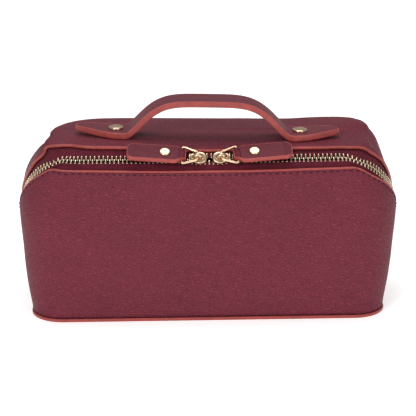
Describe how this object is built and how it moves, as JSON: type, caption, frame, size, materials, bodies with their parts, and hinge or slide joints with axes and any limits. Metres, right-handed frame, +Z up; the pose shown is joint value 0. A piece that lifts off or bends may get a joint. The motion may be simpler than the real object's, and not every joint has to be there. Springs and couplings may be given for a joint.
{
  "type": "leather jewellery case",
  "caption": "Zip-around leather travel jewellery case with a fold-back lid, a metal zip with twin sliders and leather pulls, and a riveted strap handle.",
  "frame": {"origin": "centre of the base's underside", "axes": "+X along the width to the viewer's right when facing the front, front towards -Y, +Z up"},
  "size_m": [0.2504, 0.1082, 0.1449],
  "materials": {
    "wine_leather": "pebbled wine leather with brick-red painted edges",
    "zip_tape": "woven tape, dark wine",
    "gold_metal": "pale polished gold plating",
    "lining": "soft brushed lining cloth",
    "foam": "thin padding foam",
    "fibreboard": "grey-brown stiffening board"
  },
  "bodies": {
    "tub": {"base_panel": "wine_leather", "base_board": "fibreboard", "base_lining": "lining", "front_panel": "wine_leather", "rear_panel": "wine_leather", "front_foam": "foam", "rear_foam": "foam", "tub_lining": "lining", "divider": "lining", "zip_tape_tub": "zip_tape", "zip_teeth_tub": "gold_metal", "zip_end_tab_left": "wine_leather", "zip_end_tab_right": "wine_leather"},
    "lid": {"lid_panel": "wine_leather", "lid_foam": "foam", "lid_lining": "lining", "zip_tape_lid": "zip_tape", "zip_teeth_lid": "gold_metal", "handle_under_ply": "wine_leather", "handle_top_ply": "wine_leather", "handle_rivet_left": "gold_metal", "handle_rivet_right": "gold_metal", "rivet_back_left": "gold_metal", "rivet_back_right": "gold_metal"},
    "slider_left": {"slider_left": "gold_metal"},
    "pull_ring_left": {"pull_ring_left": "gold_metal"},
    "pull_tab_left": {"pull_tab_left": "wine_leather", "pull_rivet_left": "gold_metal"},
    "slider_right": {"slider_right": "gold_metal"},
    "pull_ring_right": {"pull_ring_right": "gold_metal"},
    "pull_tab_right": {"pull_tab_right": "wine_leather", "pull_rivet_right": "gold_metal"}
  },
  "joints": [
    {"name": "lid_hinge", "type": "hinge", "parent": "tub", "child": "lid", "pos_m": [0, 0.0515, 0.03], "axis": [-1, 0, 0], "range_deg": [0, 110]},
    {"name": "slider_left_slide", "type": "slide", "parent": "tub", "child": "slider_left", "axis": [-1, 0, 0], "range_m": [0, 0.069]},
    {"name": "ring_left_swing", "type": "hinge", "parent": "slider_left", "child": "pull_ring_left", "pos_m": [-0.0077, -0.04944, 0.11397], "axis": [0.0872, 0.7117, 0.6971], "range_deg": [0, 80]},
    {"name": "tab_left_swing", "type": "hinge", "parent": "pull_ring_left", "child": "pull_tab_left", "pos_m": [-0.01816, -0.04879, 0.11461], "axis": [0.0872, 0.7117, 0.6971], "range_deg": [0, 15]},
    {"name": "slider_right_slide", "type": "slide", "parent": "tub", "child": "slider_right", "axis": [1, 0, 0], "range_m": [0, 0.069]},
    {"name": "ring_right_swing", "type": "hinge", "parent": "slider_right", "child": "pull_ring_right", "pos_m": [0.0077, -0.04944, 0.11397], "axis": [0.0872, -0.7117, -0.6971], "range_deg": [0, 80]},
    {"name": "tab_right_swing", "type": "hinge", "parent": "pull_ring_right", "child": "pull_tab_right", "pos_m": [0.01816, -0.04879, 0.11461], "axis": [0.0872, -0.7117, -0.6971], "range_deg": [0, 15]}
  ]
}
